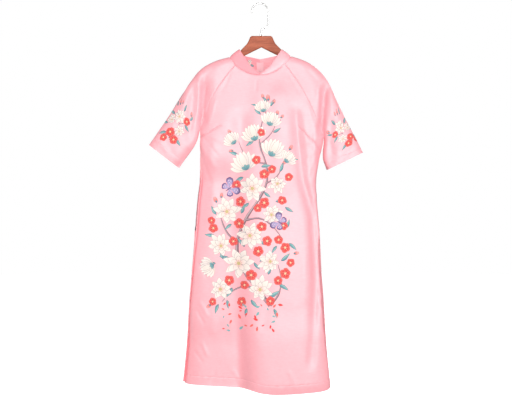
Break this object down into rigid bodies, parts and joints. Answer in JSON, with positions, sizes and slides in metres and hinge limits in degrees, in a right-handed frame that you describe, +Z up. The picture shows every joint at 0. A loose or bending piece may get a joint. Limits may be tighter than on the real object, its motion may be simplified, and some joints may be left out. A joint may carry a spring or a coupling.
{
  "type": "ao dai on a hanger",
  "caption": "Knee-length raglan dress with short sleeves, standing V-notched collar and side slits, hung on a flat wooden hanger with a wire hook.",
  "frame": {"origin": "underside of the hook's crown, where a rail carries it", "axes": "+Z up, +X to the right of someone who faces the front, +Y away from them, through the garment"},
  "size_m": [0.7274, 0.0966, 1.32],
  "materials": {
    "satin": "woven satin, soft sheen, printed",
    "tape": "woven tape, matt",
    "zip_metal": "pink enamel",
    "wood": "stained and lacquered",
    "wire": "bright"
  },
  "bodies": {
    "garment": {"front": "satin", "back_left": "satin", "back_right": "satin", "sleeve_left": "satin", "sleeve_right": "satin", "collar_left": "satin", "collar_right": "satin", "zip_tape": "tape", "zip_slider": "zip_metal", "hanger_wood": "wood", "hanger_ferrule": "wire", "hanger_hook": "wire"},
    "zip_pull": {"zip_pull": "zip_metal"}
  },
  "joints": [
    {"name": "zip_pull_hinge", "type": "hinge", "parent": "garment", "child": "zip_pull", "pos_m": [0, 0.01951, -0.197], "axis": [1, 0, 0], "range_deg": [0, 150]}
  ]
}
